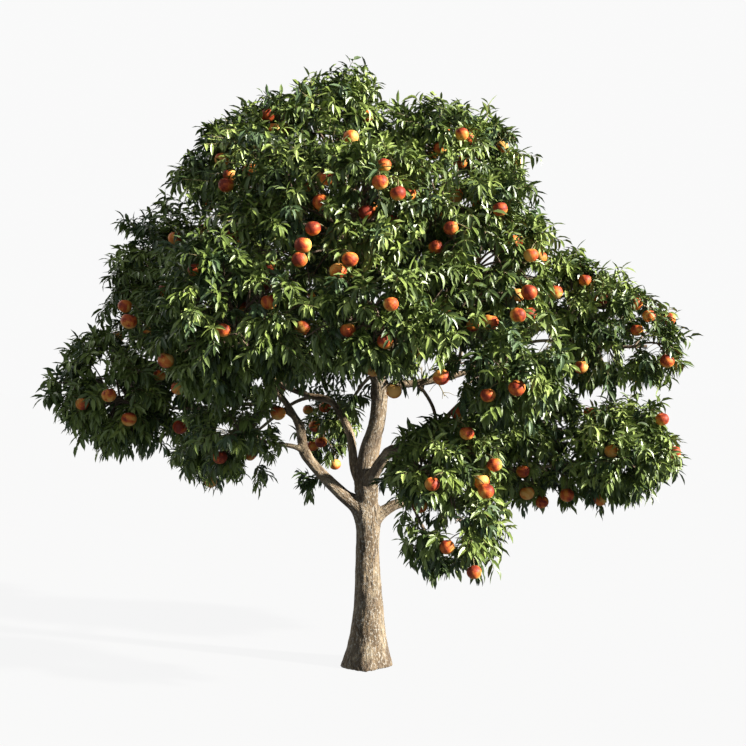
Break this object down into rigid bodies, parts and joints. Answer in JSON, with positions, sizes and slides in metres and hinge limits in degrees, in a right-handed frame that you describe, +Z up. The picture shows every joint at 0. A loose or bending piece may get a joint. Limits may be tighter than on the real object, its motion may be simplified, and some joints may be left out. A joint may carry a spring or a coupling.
{
  "type": "dwarf peach tree",
  "caption": "Small broad-crowned peach tree in summer leaf with ripe fruit, rooted in level ground, with a flared trunk forking low into boughs and separate masses of foliage.",
  "frame": {"origin": "middle of the flat cut under the trunk, at ground level", "axes": "+Z up along the trunk, -Y towards the side the picture shows, +X to the right in the picture"},
  "size_m": [3.2251, 2.4056, 2.9123],
  "materials": {
    "bark": "rough greyish-beige bark with vertical fissures",
    "foliage": "satin green leaves with yellow-orange ripe peaches"
  },
  "bodies": {
    "root": {"trunk": "bark", "leader": "bark", "left_bough": "bark", "middle_left_bough": "bark", "front_right_bough": "bark", "right_low_bough": "bark", "right_upper_bough": "bark", "back_bough": "bark", "front_fork_bough": "bark", "top_centre_bough": "bark", "top_left_bough": "bark", "top_right_bough": "bark", "top_back_bough": "bark", "upper_front_bough": "bark", "upper_right_bough": "bark", "right_tip_bough": "bark", "left_far_bough": "bark", "left_upper_bough": "bark", "left_front_bough": "bark", "left_low_bough": "bark", "left_low_back_bough": "bark", "right_hanging_bough": "bark", "front_centre_bough": "bark", "right_far_bough": "bark", "back_right_bough": "bark", "back_low_bough": "bark", "right_hanging_side_bough": "bark", "top_centre_foliage": "foliage", "top_left_foliage": "foliage", "top_right_foliage": "foliage", "top_back_foliage": "foliage", "upper_front_foliage": "foliage", "right_upper_foliage": "foliage", "upper_right_foliage": "foliage", "right_tip_foliage": "foliage", "left_far_foliage": "foliage", "left_upper_foliage": "foliage", "left_front_foliage": "foliage", "left_low_foliage": "foliage", "left_back_foliage": "foliage", "left_low_back_foliage": "foliage", "right_low_foliage": "foliage", "right_hanging_foliage": "foliage", "front_centre_foliage": "foliage", "right_front_foliage": "foliage", "right_middle_foliage": "foliage", "right_far_foliage": "foliage", "back_right_foliage": "foliage", "back_centre_foliage": "foliage", "back_low_foliage": "foliage", "right_hanging_side_foliage": "foliage"}
  },
  "joints": []
}
